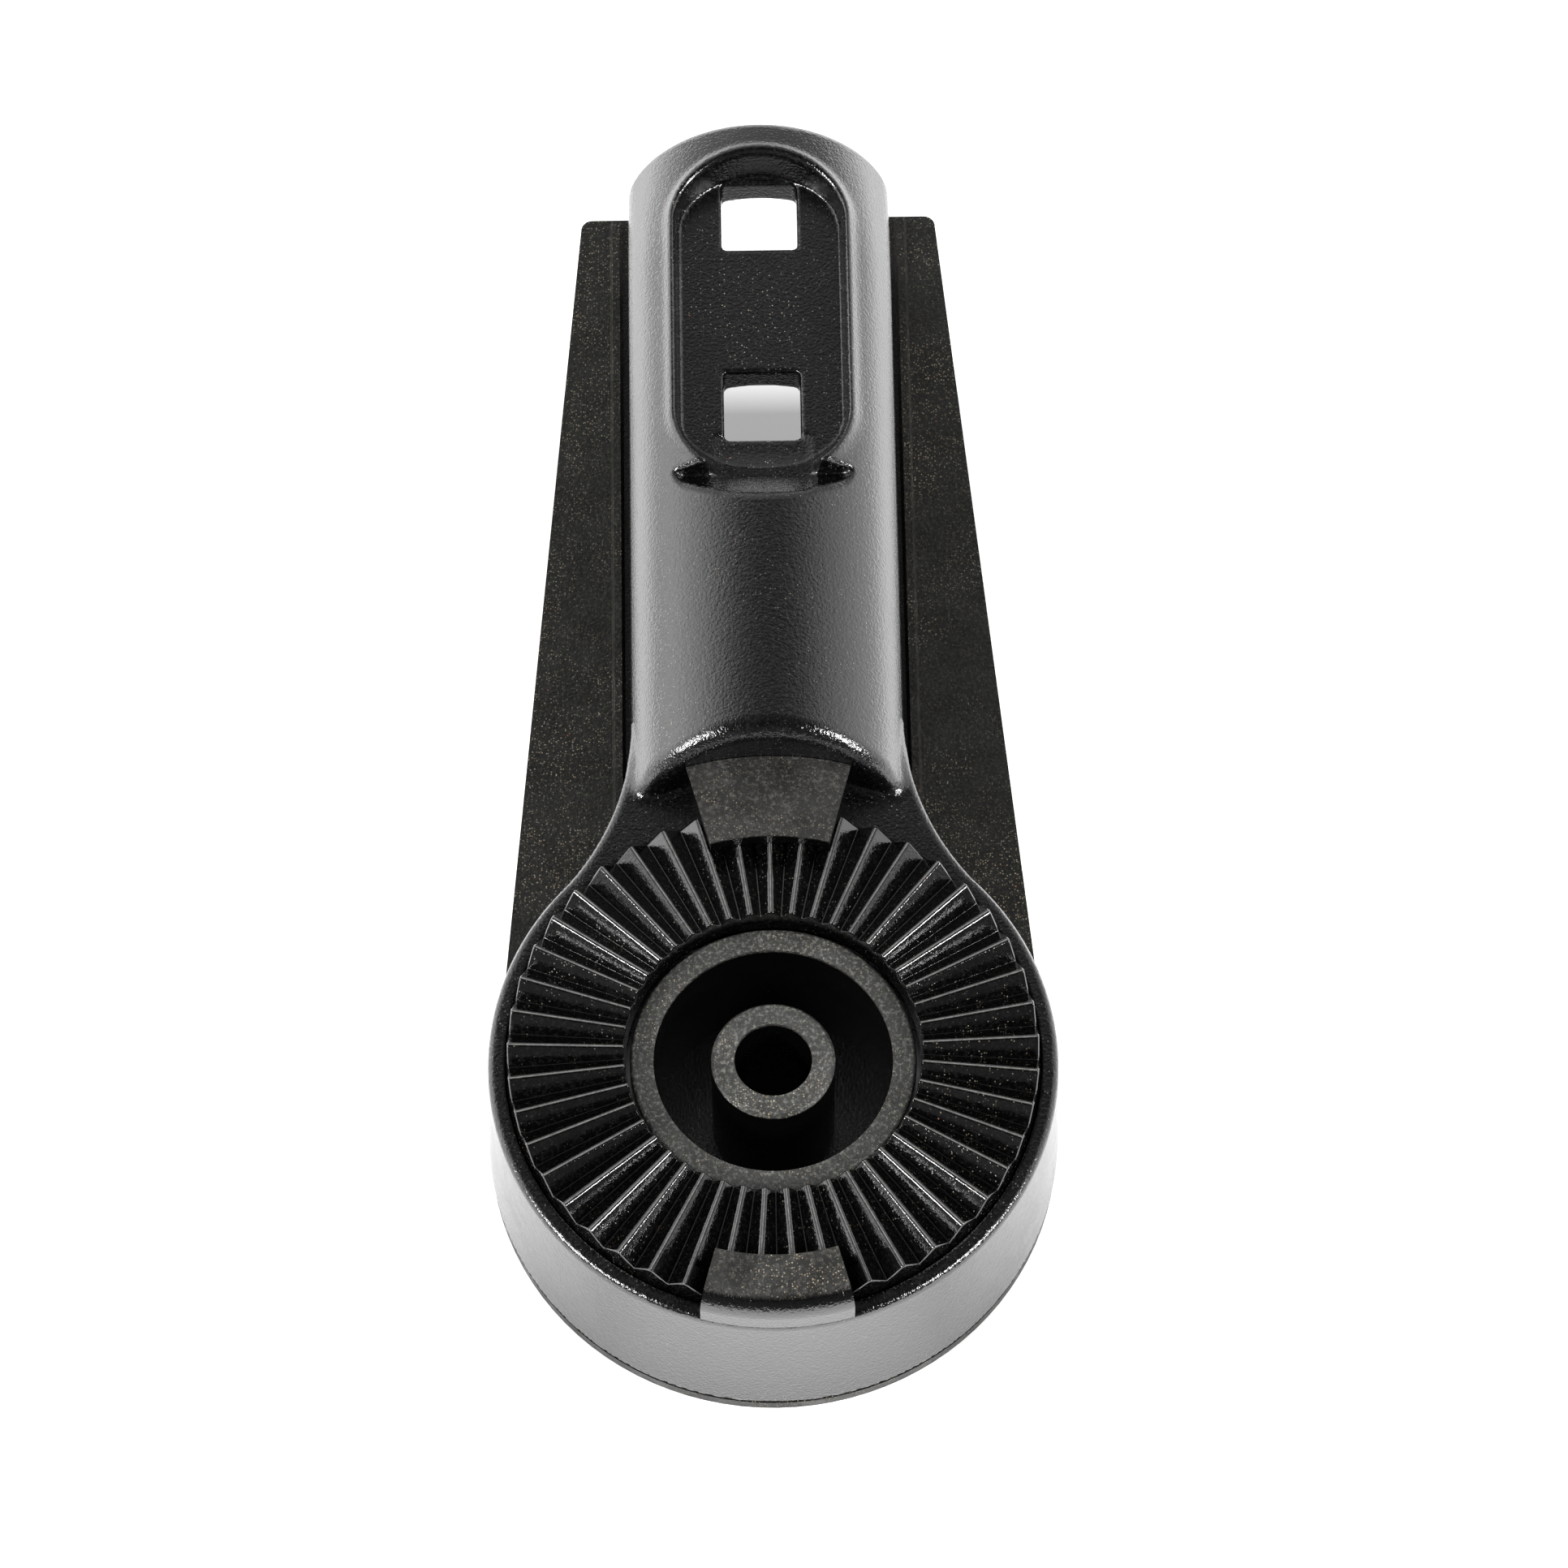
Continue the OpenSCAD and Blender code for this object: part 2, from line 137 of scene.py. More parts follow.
def rectangle(x, y, hw, hh, r):
    """Rectangle about the origin with round corners."""
    dx, dy = np.abs(x) - hw + r, np.abs(y) - hh + r
    return np.hypot(np.maximum(dx, 0), np.maximum(dy, 0)) + np.minimum(np.maximum(dx, dy), 0) - r


def oval(x, y, a, b):
    """Ellipse about the origin with half axes a and b."""
    size = np.maximum(np.hypot(x / a, y / b), 1e-4)
    return size * (size - 1) / np.maximum(np.hypot(x / a**2, y / b**2), 1e-6)


def arch(x, z):
    """Cross-section of the arm: an elliptical crown that runs into upright sides."""
    crown = oval(x, np.maximum(z - ARCH_Z, 0), ARM_HW, CROWN_Z - ARCH_Z)
    return np.where(z > ARCH_Z, crown, np.abs(x) - ARM_HW)


def flare_plan(x, y):
    """The two concave flares between hub and arm, seen from above."""
    reach = FILLET_R + ARM_HW
    flare = np.maximum(FILLET_R - np.hypot(np.abs(x) - reach, y - FILLET_Y), y - FILLET_Y)
    return np.maximum(flare, (np.abs(x) * FILLET_Y - y * reach) / math.hypot(FILLET_Y, reach))


def pocket(x, y, z):
    """Space of the bolt pocket and the distance outside its wall: oval ends and a ramp towards the hub."""
    rise = np.maximum(z - FLOOR_Z, 0)
    along = y - np.clip(y, POCKET_NEAR, POCKET_FAR)
    reach = np.where(y < POCKET_NEAR, NEAR_LONG + NEAR_SLOPE * rise, FAR_LONG + FAR_SLOPE * rise)
    steep = 0.96 - 0.14 * np.clip(-along / 5, 0, 1)  # turns the sideways distance into a true one
    side = oval(x, along, FLOOR_HW + SLOPE * rise, reach) * steep
    slot = both(side, FLOOR_Z - z, FLOOR_R)
    slope = ((RAMP_Y - y) - (z - FLOOR_Z)) * math.sqrt(0.5)
    ramp = both(both(np.abs(x) - RAMP_HW, slope, RAMP_R), y - RAMP_Y + RAMP_HORN, 0.6)
    throat = both(np.abs(x) - THROAT_HW, slope, THROAT_R)
    throat = both(throat, np.maximum(y - RAMP_Y - THROAT_LONG, FLOOR_Z - z), RAMP_R)
    return join(join(slot, throat, 0.8), ramp, 0.6), side


def arm_bar(x, y, z, outside):
    """Full length of the arm, with the bead round the pocket and the fall of the crown."""
    bead = BEAD_H * np.exp(-((outside - BEAD_OUT) / BEAD_W)**2)
    bead = bead * np.clip((z - FLOOR_Z) / BEAD_FADE_Z, 0, 1)
    bead = bead * np.clip((y - RAMP_Y + BEAD_FADE_Y) / BEAD_FADE_Y, 0, 1)
    sag = SAG * np.maximum(y - SAG_Y, 0)**2
    return both(arch(x, z + sag) - bead, y - ARM_END + END_CURVE * x**2, END_R)


def outer_body(x, y, z, outside):
    """Hub, flares and crowned arm before anything is cut away."""
    rho = np.hypot(x, y)
    arm = arm_bar(x, y, z, outside)
    plan = np.minimum(np.maximum(arm, -y), flare_plan(x, y))
    skirt = rho - HUB_R + SKIRT_DRAFT * np.minimum(z, 0) / -SKIRT_Z
    hub = both(both(skirt, z, EDGE_R), SKIRT_Z - z, FOOT_R)
    deck = both(both(plan, z, DECK_R), ARM_Z - z, FOOT_R)
    crown = both(np.maximum(arm, ARCH_Z - z), CROWN_START - rho, CROWN_R)
    crown = np.maximum(crown, -y)
    crease = CREASE_MIN + CREASE_R * np.clip((CREASE_Y - y) / CREASE_LONG, 0, 1)
    return join(np.minimum(hub, deck), crown, crease)


def hub_hollow(x, y, z):
    """Ring-shaped space under the hub, leaving two stop ribs."""
    rho = np.hypot(x, y)
    ring = np.maximum(np.maximum(SLEEVE_OUT - rho, rho - SKIRT_IN), z - (WEB_Z - WEB_T))
    for side in (-1, 1):
        a = math.radians(-90 + side * STOP_RIB_A)
        across = np.abs(y * math.cos(a) - x * math.sin(a)) - STOP_RIB_HW
        ahead = -(x * math.cos(a) + y * math.sin(a))
        ring = np.maximum(ring, -np.maximum(np.maximum(across, ahead), STOP_RIB_Z - z))
    return ring


def arm_hollow(x, y, z):
    """Space under the arm: barrel under the crown, arched floor under the pocket, open far end."""
    hw, y1 = ARM_HW - WALL, ARM_END - WALL
    inner = rectangle(x, y - (HOLLOW_Y + y1) / 2, hw, (y1 - HOLLOW_Y) / 2, HOLLOW_CORNER_R)
    high = np.minimum(np.hypot(x, z - HOLLOW_C) - hw, z - HOLLOW_C)
    high = np.maximum(high, y - BARREL_END)
    low = np.minimum(np.hypot(x, z - UNDER_Z + UNDER_R) - UNDER_R, z - HOLLOW_C)
    hollow = both(inner, np.minimum(high, low), HOLLOW_R)
    channel = np.maximum(both(np.abs(x) - hw, z - HOLLOW_C, CHANNEL_R), HOLLOW_Y - y)
    return np.minimum(hollow, channel)


def housing(x, y, z):
    """The arm moulding: hub skirt, flare, barrel-topped arm, pocket, holes and hollow underside."""
    rho = np.hypot(x, y)
    pocket_space, outside = pocket(x, y, z)
    body = outer_body(x, y, z, outside)
    body = without(body, pocket_space, RIM_R + RIM_R * np.clip((y - POCKET_FAR) / RIM_LONG, 0, 1))
    for hole_y in (HOLE_Y, HOLE_Y + HOLE_GAP):
        hole = rectangle(x, y - hole_y, SQUARE / 2, SQUARE / 2, SQUARE_R)
        body = without(body, np.maximum(hole, z - HOLE_TOP), HOLE_RIM_R)
    body = without(body, np.maximum(rho - SEAT_R, WEB_Z - z), HIDDEN_R)
    body = without(body, rho - SLEEVE_IN + 0 * z, HIDDEN_R)
    body = without(body, hub_hollow(x, y, z), HIDDEN_R)
    body = np.maximum(body, -np.maximum(rho - SLEEVE_OUT - SLEEVE_GAP, z - SLEEVE_Z))
    body = without(body, arm_hollow(x, y, z), HOLLOW_EDGE_R)
    for side in (-1, 1):
        screw = np.maximum(np.hypot(x, y - side * SCREW_POS) - SCREW_R, np.abs(z - WEB_Z) - SCREW_LONG)
        body = np.maximum(body, -screw)
    return body


NORMAL_STEP, PULL_STEPS, BAND = 0.02, 3, 3  # step for normals in mm; pulls to the surface; band in voxels


def field_mesh(name, field, low, high, voxel):
    """Turns a distance field into a smooth mesh whose normals come from the field itself."""
    low, high = np.array(low, float), np.array(high, float)
    count = np.ceil((high - low) / voxel).astype(int) + 1
    axes = [low[i] + voxel * np.arange(count[i]) for i in range(3)]
    x, y, z = np.ix_(*axes)
    values = np.clip(field(x, y, z), -BAND * voxel, BAND * voxel)
    grid = openvdb.FloatGrid()
    grid.background = BAND * voxel
    grid.copyFromArray(np.ascontiguousarray(values, dtype=np.float32))
    points, quads = grid.convertToQuads(isovalue=0.0)
    points = low + np.asarray(points, float) * voxel
    for _ in range(PULL_STEPS):
        normal = gradient(field, points)
        step = field(*points.T)
        points -= normal * np.clip(step, -voxel / 2, voxel / 2)[:, None]
    normal = gradient(field, points)
    mesh = bpy.data.meshes.new(name)
    mesh.from_pydata((points * MM).tolist(), [], np.asarray(quads).tolist())
    mesh.shade_smooth()
    mesh.normals_split_custom_set_from_vertices(normal.tolist())
    piece = bpy.data.objects.new(name, mesh)
    bpy.context.scene.collection.objects.link(piece)
    return piece


def gradient(field, points):
    """Unit direction in which the field grows, at each point."""
    x, y, z = points.T
    h = NORMAL_STEP
    g = np.stack([field(x + h, y, z) - field(x - h, y, z),
                  field(x, y + h, z) - field(x, y - h, z),
                  field(x, y, z + h) - field(x, y, z - h)], axis=1)
    return g / np.maximum(np.linalg.norm(g, axis=1, keepdims=True), 1e-9)


# ---------------------------------------------------------------- toothed ring, in millimetres

TEETH, CREST_Z, TOOTH_H, CREST_LAND = 45, 3.0, 1.9, 0.3
RING_IN, RING_TOP_R, RING_R, RING_BOT = 15.6, 27.9, 28.1, -3.2
LIP_R, LIP_Z, NOTCH_R, NOTCH_A = 17.6, -1.0, 24.75, 15.9
ROUND = 0.18  # rounding of the crests and tooth ends
FLANK = (math.pi * RING_TOP_R / TEETH - CREST_LAND / 2) / TOOTH_H
TOOTH_H_IN = (math.pi * RING_IN / TEETH - CREST_LAND * 0.4) / FLANK


def groove_point(middle, side, spot, r):
    """Point at radius r on one line of a V groove: on its crest, shoulder or foot."""
    depth = TOOTH_H_IN + (TOOTH_H - TOOTH_H_IN) * (r - RING_IN) / (RING_TOP_R - RING_IN)
    if spot == "crest":
        a = middle - math.pi / TEETH
        return np.array([r * math.cos(a), r * math.sin(a), CREST_Z])
    half = depth * FLANK
    off, z = {"shoulder": (half - ROUND, CREST_Z - ROUND / FLANK),
              "foot": (0.5 * ROUND, CREST_Z - depth + 0.5 * ROUND / FLANK)}[spot]
    u, v = math.sqrt(r**2 - off**2), side * off
    return np.array([u * math.cos(middle) - v * math.sin(middle),
                     u * math.sin(middle) + v * math.cos(middle), z])


def ring_column(middle, side, spot):
    """One closed strip round the ring's section: points, and the normals at both ends of each facet."""
    up, out = np.array([0, 0, 1.0]), groove_point(middle, side, spot, RING_IN)
    angle = math.degrees(math.atan2(out[1], out[0]))
    notched = abs(abs(angle) - 90) < NOTCH_A
    reach, foot = (NOTCH_R, NOTCH_R) if notched else (RING_TOP_R, RING_R)
    a = groove_point(middle, side, spot, RING_IN + ROUND)
    b = groove_point(middle, side, spot, reach - ROUND)
    face = up
    if spot in ("shoulder", "foot"):
        across = groove_point(middle, side, "shoulder", RING_IN + 1)
        across = across - groove_point(middle, side, "foot", RING_IN + 1)
        face = np.cross(across, b - a) * -side
        face /= np.linalg.norm(face)
    ea, eb = (np.array([p[0], p[1], 0]) / math.hypot(p[0], p[1]) for p in (a, b))
    drop = ROUND * up
    points = [ea * RING_IN + LIP_Z * up, ea * RING_IN + a[2] * up - drop, a,
              b, eb * reach + b[2] * up - drop, eb * foot,
              eb * foot + RING_BOT * up, ea * LIP_R + RING_BOT * up, ea * LIP_R + LIP_Z * up]
    facets = [(-ea, -ea), (-ea, face), (face, face),
              (face, eb), (eb, eb), (eb, eb),
              (-up, -up), (-ea, -ea), (-up, -up)]
    return points, facets


def make_ring():
    """Toothed ring with flat flanks, narrow crests and rounded edges."""
    lines = [(-1, "crest"), (-1, "shoulder"), (-1, "foot"), (1, "foot"), (1, "shoulder")]
    columns = []
    for i in range(TEETH):
        middle = math.pi / 2 + (2 * i + 1) * math.pi / TEETH
        columns += [ring_column(middle, side, spot) for side, spot in lines]
    rows, count = len(columns[0][0]), len(columns)
    points = [p * MM for column in columns for p in column[0]]
    faces, normals = [], []
    for j in range(count):
        k = (j + 1) % count
        for row in range(rows):
            after = (row + 1) % rows
            faces.append((j * rows + row, j * rows + after, k * rows + after, k * rows + row))
            (n0, n1), (m0, m1) = columns[j][1][row], columns[k][1][row]
            normals += [n0, n1, m1, m0]
    mesh = bpy.data.meshes.new("ring_teeth")
    mesh.from_pydata([tuple(p) for p in points], [], faces)
    mesh.shade_smooth()
    mesh.normals_split_custom_set([tuple(n) for n in normals])
    piece = bpy.data.objects.new("ring_teeth", mesh)
    bpy.context.scene.collection.objects.link(piece)
    paint(piece, MATERIALS["ring"])
    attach(piece, "ring")
    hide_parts("tooth_ring")


# ---------------------------------------------------------------- materials

class Nodes:
    """Short helper for building one procedural material."""

    def __init__(self, name):
        self.material = bpy.data.materials.new(name)
        self.material.use_nodes = True
        self.tree = self.material.node_tree
        self.shader = self.tree.nodes["Principled BSDF"]
        self.coords = self.tree.nodes.new("ShaderNodeTexCoord").outputs["Object"]

    def link(self, a, b):
        self.tree.links.new(a, b)

    def axis(self, name):
        """One coordinate of the point, in metres."""
        split = self.tree.nodes.new("ShaderNodeSeparateXYZ")
        self.link(self.coords, split.inputs["Vector"])
        return split.outputs[name]

    def noise(self, scale, detail=3, rough=0.5, stretch=None):
        node = self.tree.nodes.new("ShaderNodeTexNoise")
        node.inputs["Scale"].default_value = scale
        node.inputs["Detail"].default_value = detail
        node.inputs["Roughness"].default_value = rough
        source = self.coords
        if stretch:
            mapping = self.tree.nodes.new("ShaderNodeMapping")
            mapping.inputs["Scale"].default_value = stretch
            self.link(source, mapping.inputs["Vector"])
            source = mapping.outputs["Vector"]
        self.link(source, node.inputs["Vector"])
        return node.outputs["Fac"]

    def specks(self, scale, size):
        """1 on scattered round specks and 0 elsewhere, with two random values for each speck."""
        node = self.tree.nodes.new("ShaderNodeTexVoronoi")
        node.inputs["Scale"].default_value = scale
        self.link(self.coords, node.inputs["Vector"])
        near = self.ramp(node.outputs["Distance"], size * 0.6, 1.0, size, 0.0)
        split = self.tree.nodes.new("ShaderNodeSeparateColor")
        self.link(node.outputs["Color"], split.inputs["Color"])
        return near, split.outputs["Red"], split.outputs["Green"]

    def ramp(self, value, x0, y0, x1, y1):
        node = self.tree.nodes.new("ShaderNodeMapRange")
        node.inputs["From Min"].default_value = x0
        node.inputs["From Max"].default_value = x1
        node.inputs["To Min"].default_value = y0
        node.inputs["To Max"].default_value = y1
        self.link(value, node.inputs["Value"])
        return node.outputs["Result"]

    def maths(self, how, a, b):
        node = self.tree.nodes.new("ShaderNodeMath")
        node.operation = how
        for socket, value in zip(node.inputs, (a, b)):
            if isinstance(value, (int, float)):
                socket.default_value = value
            else:
                self.link(value, socket)
        return node.outputs["Value"]

    def mix(self, factor, a, b):
        node = self.tree.nodes.new("ShaderNodeMix")
        node.data_type = "RGBA"
        for name, value in (("Factor", factor), ("A", a), ("B", b)):
            wanted = "VALUE" if name == "Factor" else "RGBA"
            socket = next(s for s in node.inputs if s.name == name and s.type == wanted)
            if isinstance(value, (int, float)):
                socket.default_value = value
            elif isinstance(value, tuple):
                socket.default_value = (*value, 1)
            else:
                self.link(value, socket)
        return next(s for s in node.outputs if s.type == "RGBA")

    def bump(self, height, strength, distance, after=None):
        node = self.tree.nodes.new("ShaderNodeBump")
        node.inputs["Strength"].default_value = strength
        node.inputs["Distance"].default_value = distance
        self.link(height, node.inputs["Height"])
        if after is not None:
            self.link(after, node.inputs["Normal"])
        return node.outputs["Normal"]

    def set(self, name, value):
        socket = self.shader.inputs[name]
        if isinstance(value, (int, float)):
            socket.default_value = value
        elif isinstance(value, tuple):
            socket.default_value = (*value, 1)
        else:
            self.link(value, socket)


GLOSS_ROUGH, GLOSS_BLACK = 0.12, (0.0008, 0.0008, 0.0009)
# the grey for the ring's crests is partly rubbed wear and partly a painted highlight
WEAR_AND_HIGHLIGHT_GREY, WORN_ROUGH = (0.11, 0.11, 0.105), 0.25
RUST, DUST_ROUGH = (0.3, 0.08, 0.02), 0.8


def scaled(colour, *factors):
    """Colour with each channel multiplied, by one factor or by one each."""
    factors = factors * 3 if len(factors) == 1 else factors
    return tuple(c * f for c, f in zip(colour, factors))


def dust_layer(n, dust, share):
    """Amount and colour of the dust: fine and coarse specks in clusters, a few of them rust."""
    cluster = n.ramp(n.noise(70, 3, 0.6), 0.42, 0.15, 0.62, 1)
    fine, pick, tint = n.specks(3800, 0.36)
    fine = n.maths("MULTIPLY", fine, n.ramp(pick, 1 - share, 0, 1, 1))
    coarse, coarse_pick, rust_pick = n.specks(1400, 0.15)
    coarse = n.maths("MULTIPLY", coarse, n.ramp(coarse_pick, 1 - share * 0.6, 0, 1, 1))
    amount = n.maths("MULTIPLY", n.maths("MAXIMUM", fine, coarse), cluster)
    rust = n.maths("MULTIPLY", coarse, n.ramp(rust_pick, 0.93, 0, 0.94, 1))
    grit = n.mix(tint, dust, scaled(dust, 0.9, 0.78, 0.6))
    return amount, n.mix(rust, grit, RUST)


def dusty_coat(name, base, rough, dust, share, grain=1.0, shine=0.5, matte_z=None, wear_and_highlight_z=None):
    """Black coat with orange peel, fine grain, and clusters of light and brown dust.

    With matte_z, the coat's own look is kept above that height and the sides below are gloss black.
    With the crest height given, the crests above it are painted a lighter grey, partly rubbed wear and
    partly a painted highlight.
    """
    n = Nodes(name)
    colour = n.mix(n.noise(90, 4), scaled(base, 0.7), scaled(base, 1.35))
    mottle = n.noise(2200, 3, 0.7)
    colour = n.mix(n.ramp(mottle, 0.5, 0, 0.75, 1), colour, scaled(base, 9))
    coat_rough = n.ramp(n.noise(260, 5, 0.6), 0.35, rough * 0.8, 0.65, rough * 1.25)
    amount, grit = dust_layer(n, dust, share)
    if matte_z is not None:
        matte = n.ramp(n.axis("Z"), (matte_z - 0.3) * MM, 0, matte_z * MM, 1)
        colour = n.mix(matte, GLOSS_BLACK, colour)
        coat_rough = n.maths("MULTIPLY", coat_rough, matte)
        coat_rough = n.maths("ADD", coat_rough, n.ramp(matte, 0, GLOSS_ROUGH, 1, 0))
        amount = n.maths("MULTIPLY", amount, matte)
    # crest grey: partly rubbed wear, partly a painted highlight
    if wear_and_highlight_z is not None:
        crest_wear_and_highlight = n.ramp(n.axis("Z"), (wear_and_highlight_z - 0.06) * MM, 0, wear_and_highlight_z * MM, 1)
        crest_wear_and_highlight = n.maths("MULTIPLY", crest_wear_and_highlight, n.ramp(mottle, 0.3, 0.5, 0.6, 1))
        colour = n.mix(crest_wear_and_highlight, colour, WEAR_AND_HIGHLIGHT_GREY)
        coat_rough = n.maths("ADD", coat_rough, n.maths("MULTIPLY", crest_wear_and_highlight, WORN_ROUGH))
    n.set("Base Color", n.mix(amount, colour, grit))
    n.set("Roughness", n.maths("MAXIMUM", coat_rough, n.maths("MULTIPLY", amount, DUST_ROUGH)))
    n.set("IOR", 1.5)
    n.set("Specular IOR Level", shine)
    normal = n.bump(n.noise(1500, 3, 0.6), 0.3, 0.08 * MM)
    normal = n.bump(n.noise(3000, 2, 0.6), grain, 0.06 * MM, normal)
    n.set("Normal", n.bump(amount, 0.3, 0.04 * MM, normal))
    return n.material


def plain_metal(name, base, rough):
    """Turned or zinc-plated metal with fine streaks."""
    n = Nodes(name)
    streak = n.noise(400, 4, 0.6, (1, 1, 6))
    n.set("Base Color", n.mix(streak, scaled(base, 0.8), base))
    n.set("Metallic", 1.0)
    n.set("Roughness", n.ramp(streak, 0.3, rough * 0.8, 0.7, rough * 1.3))
    n.set("Normal", n.bump(streak, 0.1, 0.05 * MM))
    return n.material


def plain_polymer(name, base):
    """Natural acetal with a slight mottled sheen."""
    n = Nodes(name)
    mottle = n.noise(500, 4)
    n.set("Base Color", n.mix(mottle, scaled(base, 0.92), base))
    n.set("Roughness", n.ramp(mottle, 0.3, 0.4, 0.7, 0.55))
    n.set("Normal", n.bump(mottle, 0.08, 0.1 * MM))
    return n.material


def paint(obj, material):
    """Gives a piece one material."""
    obj.data.materials.clear()
    obj.data.materials.append(material)


def soften(node, width):
    """Rounds a CAD piece's sharp edges over a width in mm."""
    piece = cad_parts[node]
    piece.data.shade_smooth()
    flat = piece.modifiers.new("flat", "DECIMATE")
    flat.decimate_type = "DISSOLVE"
    flat.angle_limit = math.radians(0.5)
    bevel = piece.modifiers.new("edges", "BEVEL")
    bevel.use_clamp_overlap = False
    bevel.width = width * MM
    bevel.segments = 3
    bevel.limit_method = "ANGLE"
    bevel.angle_limit = math.radians(28)
    bevel.harden_normals = False
    normals = piece.modifiers.new("normals", "WEIGHTED_NORMAL")
    normals.keep_sharp = False


# ---------------------------------------------------------------- the object

def make_housing():
    """The arm housing as one smooth mesh, coarser for quick tries."""
    low, high = (np.array(corner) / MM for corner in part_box("arm_housing"))
    voxel, margin = 0.4, 2
    piece = field_mesh("arm_shell", housing, low - margin, high + margin, voxel)
    paint(piece, MATERIALS["gloss"])
    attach(piece, "arm")
    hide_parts("arm_housing")


def smooth_cup():
    """Shades the cup smooth, except over its sharp edges."""
    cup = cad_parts["pivot_cup"]
    cup.data.shade_smooth()
    split = cup.modifiers.new("edges", "EDGE_SPLIT")
    split.split_angle = math.radians(30)


def finish_nodes():
    """Edges and materials of the CAD pieces that show as they are."""
    smooth_cup()
    soften("lug_front", 0.25)
    soften("lug_rear", 0.25)
    soften("base_plate", 0.2)
    looks = {
        "cast": ["pivot_cup"],
        "satin": ["lug_front", "lug_rear"],
        "plate": ["base_plate"],
        "steel": ["cup_rivets", "stop_pin", "retaining_ring", "ring_spring", "seat_washer", "lug_screws"],
        "bronze": ["lower_bush", "upper_bush"],
        "polymer": ["thrust_washer", "friction_washer"],
    }
    for look, nodes in looks.items():
        for node in nodes:
            paint(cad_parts[node], MATERIALS[look])


# ---------------------------------------------------------------- floor and light

GLOW_UNDER, GLOW_SIDE = 0.38, 0.7  # floor glow under the arm, and its gain at the sides
BOX_PLACE, BOX_SIZE, BOX_WATTS = (0.9, -0.5, 0.7), (0.4, 0.3), 28
BOX_TARGET = Vector((0, 0.03, 0))


def painted_floor_glow(n):
    """Painted glow of the pale floor, shaped by position to light the object and show in its reflections:
    strong beside and before the object, and none right under the hub, which is painted shade.
    """
    across, y = n.maths("ABSOLUTE", n.axis("X"), 0), n.axis("Y")
    band = n.maths("MULTIPLY", n.ramp(across, 0.025, 0, 0.045, 2.5), n.ramp(across, 0.06, 1, 0.1, 0))
    band = n.maths("MULTIPLY", band, n.ramp(y, 0.0, 0.3, 0.05, 1))
    beside = n.maths("ADD", n.ramp(across, 0.016, 0, 0.07, 2.2), band)
    ahead = n.ramp(y, -0.068, 5.0, -0.024, 0)
    behind = n.ramp(y, 0.09, 0, 0.095, 0.9)
    side = n.maths("MAXIMUM", n.maths("MAXIMUM", beside, ahead), behind)
    glow = n.maths("ADD", n.maths("MULTIPLY", side, GLOW_SIDE), GLOW_UNDER)
    length = n.tree.nodes.new("ShaderNodeVectorMath")
    length.operation = "LENGTH"
    n.link(n.coords, length.inputs[0])
    # painted shade: no glow right under the hub, so the bore shows dark
    painted_dark_under_hub = n.ramp(length.outputs["Value"], 0.01, 0, 0.035, 1)
    return n.maths("MULTIPLY", glow, painted_dark_under_hub)


def make_floor():
    """Pale floor just under the plate, given a painted glow."""
    floor_z = cad_box[0][2]
    bpy.ops.mesh.primitive_plane_add(size=8, location=(0, 0, floor_z - 0.1 * MM))
    floor = bpy.context.object
    floor.name = "floor"
    n = Nodes("floor")
    n.set("Base Color", n.mix(n.noise(3, 2), (0.37, 0.37, 0.37), (0.39, 0.39, 0.39)))
    n.set("Roughness", 0.9)
    # painted light: the floor glows, with its strength shaped by position
    n.set("Emission Color", (1.0, 1.0, 1.0))
    n.set("Emission Strength", painted_floor_glow(n))
    paint(floor, n.material)


def soft_box(name, side):
    """Soft light in front of the object, to its left (-1) or right (1)."""
    data = bpy.data.lights.new(name, "AREA")
    data.shape = "RECTANGLE"
    data.size, data.size_y = BOX_SIZE
    data.energy = BOX_WATTS
    lamp = bpy.data.objects.new(name, data)
    bpy.context.scene.collection.objects.link(lamp)
    place = Vector((side * BOX_PLACE[0], *BOX_PLACE[1:]))
    lamp.location = place
    lamp.rotation_euler = (BOX_TARGET - place).to_track_quat("-Z", "Y").to_euler()


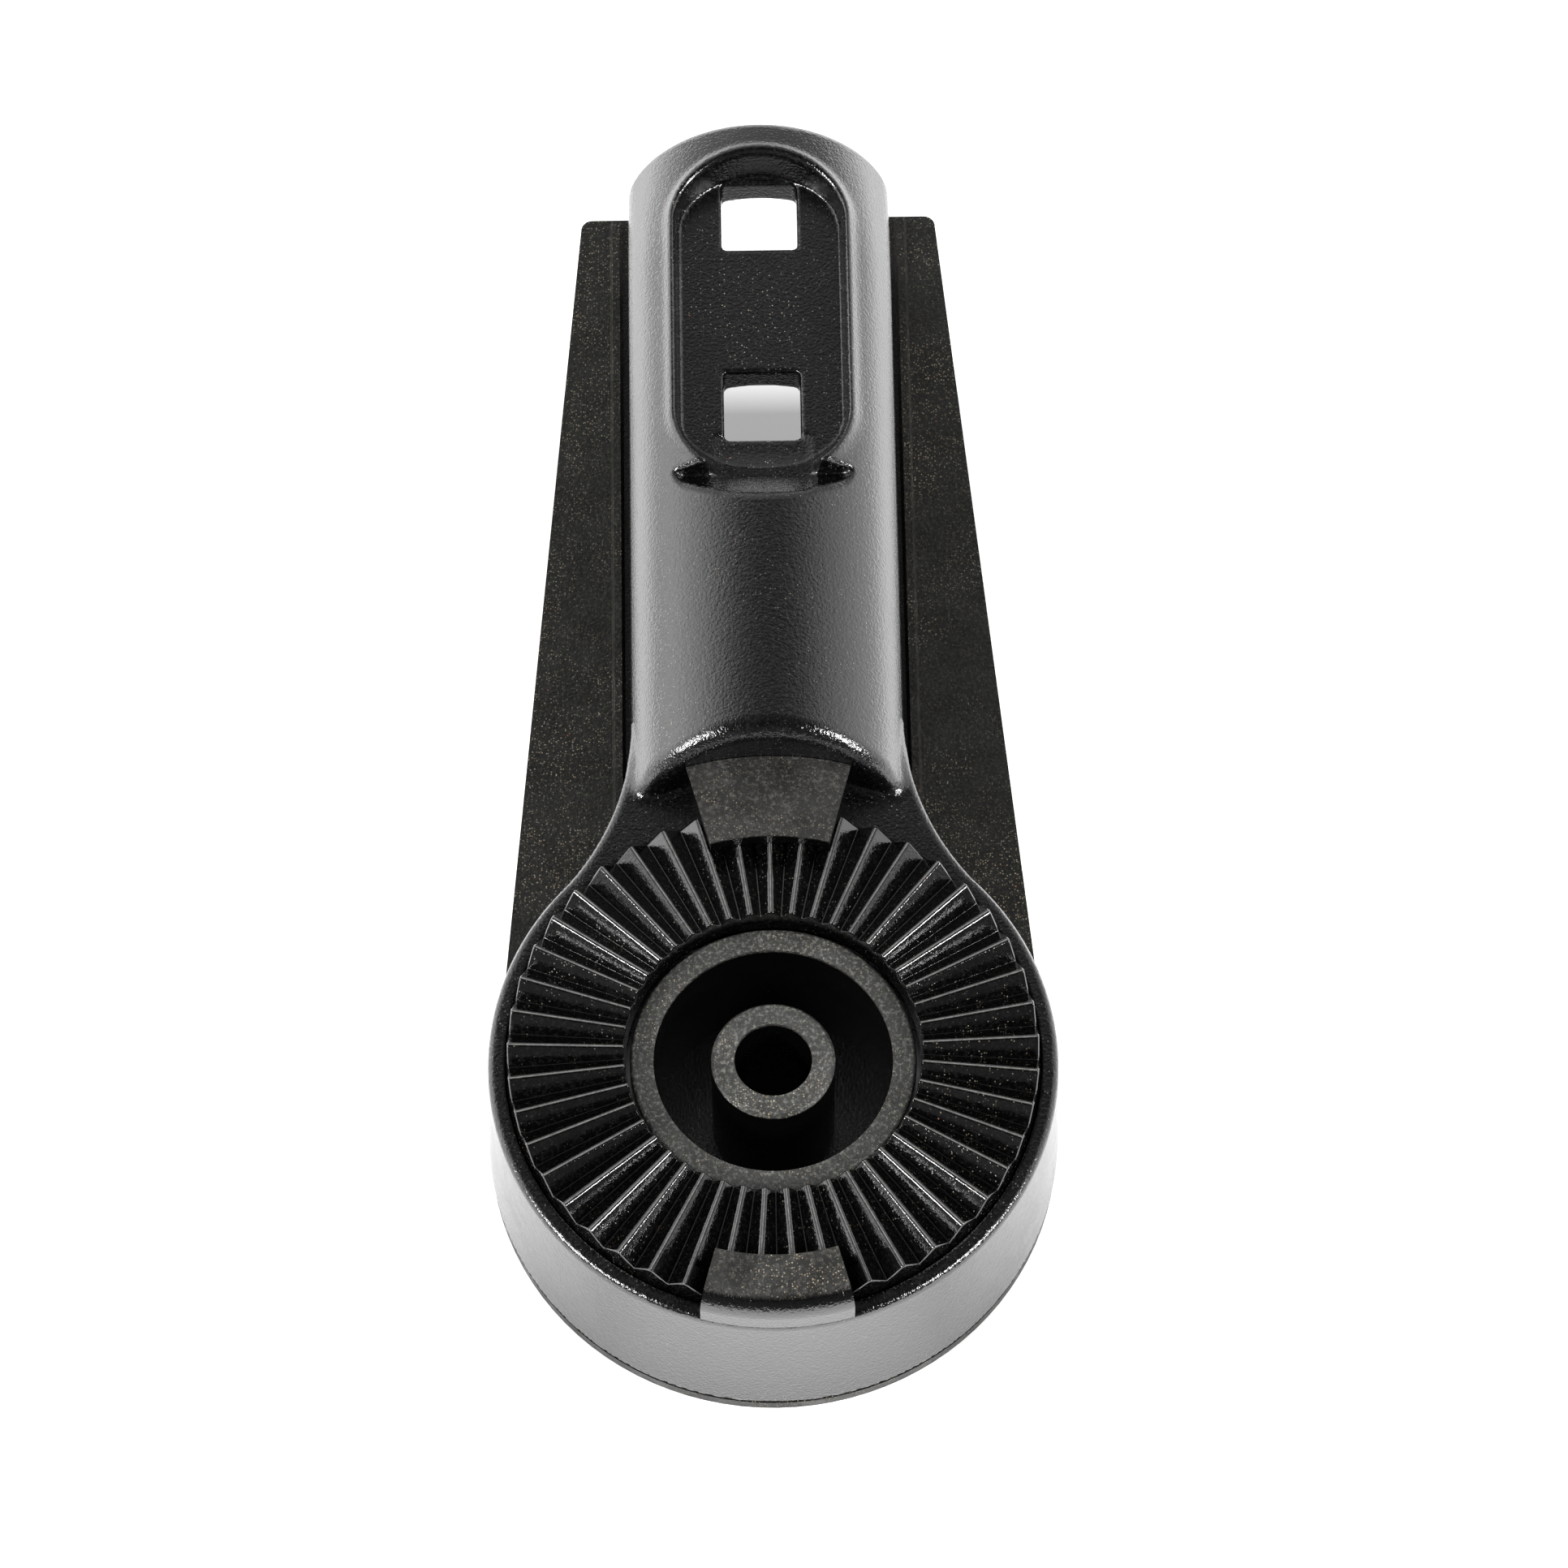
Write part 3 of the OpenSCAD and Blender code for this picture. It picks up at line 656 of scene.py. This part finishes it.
def make_tent():
    """World light of a white tent: bright beside, dimmer behind, dark overhead and in front."""
    world = bpy.data.worlds.new("tent")
    world.use_nodes = True
    tree = world.node_tree
    coords = tree.nodes.new("ShaderNodeTexCoord")
    split = tree.nodes.new("ShaderNodeSeparateXYZ")
    tree.links.new(coords.outputs["Generated"], split.inputs["Vector"])

    def fade(axis, x0, y0, x1, y1):
        node = tree.nodes.new("ShaderNodeMapRange")
        node.interpolation_type = "SMOOTHSTEP"
        for name, value in (("From Min", x0), ("To Min", y0), ("From Max", x1), ("To Max", y1)):
            node.inputs[name].default_value = value
        tree.links.new(split.outputs[axis], node.inputs["Value"])
        return node.outputs["Result"]

    def times(a, b):
        node = tree.nodes.new("ShaderNodeMath")
        node.operation = "MULTIPLY"
        tree.links.new(a, node.inputs[0])
        tree.links.new(b, node.inputs[1])
        return node.outputs["Value"]

    overhead = fade("Z", 0.45, 4.0, 0.95, 0.22)
    in_front = fade("Y", -0.45, 0.08, 0.05, 1.0)
    to_the_right = fade("X", -0.6, 1.0, 0.4, 0.62)
    behind = fade("Y", 0.5, 1.0, 0.85, 0.3)
    skyline = fade("Z", 0.1, 1.3, 0.38, 1.0)
    strength = overhead
    for part in (in_front, to_the_right, behind, skyline):
        strength = times(strength, part)
    tree.links.new(strength, tree.nodes["Background"].inputs["Strength"])
    tree.nodes["Background"].inputs["Color"].default_value = (1, 1, 1, 1)
    bpy.context.scene.world = world


MATERIALS = {
    "gloss": dusty_coat("gloss_black", (0.0009, 0.0009, 0.001), 0.13, dust=(0.17, 0.16, 0.14), share=0.18),
    # ring: the crests are painted a lighter grey, partly wear and partly a painted highlight
    "ring": dusty_coat("ring_black", (0.0005, 0.0005, 0.0005), 0.1, dust=(0.07, 0.06, 0.045), share=0.25,
                       grain=0.2, wear_and_highlight_z=CREST_Z - 0.01),
    "cast": dusty_coat("cast_black", (0.012, 0.0118, 0.0108), 0.42, dust=(0.26, 0.24, 0.18), share=0.6,
                       shine=0.72, matte_z=-0.3),
    "satin": dusty_coat("satin_black", (0.0045, 0.0043, 0.0038), 0.46, dust=(0.24, 0.21, 0.16), share=0.6,
                        shine=0.47, matte_z=4.75),
    "plate": dusty_coat("plate_black", (0.0018, 0.0017, 0.0013), 0.44, dust=(0.2, 0.185, 0.15), share=0.8,
                        shine=0.32),
    "steel": plain_metal("zinc_steel", (0.6, 0.6, 0.62), 0.3),
    "bronze": plain_metal("sintered_bronze", (0.62, 0.46, 0.26), 0.45),
    "polymer": plain_polymer("acetal", (0.78, 0.76, 0.7)),
}

make_camera()
make_housing()
make_ring()
finish_nodes()
make_floor()
soft_box("left_box", -1)
soft_box("right_box", 1)
make_tent()

bpy.context.scene.view_settings.view_transform = "Standard"
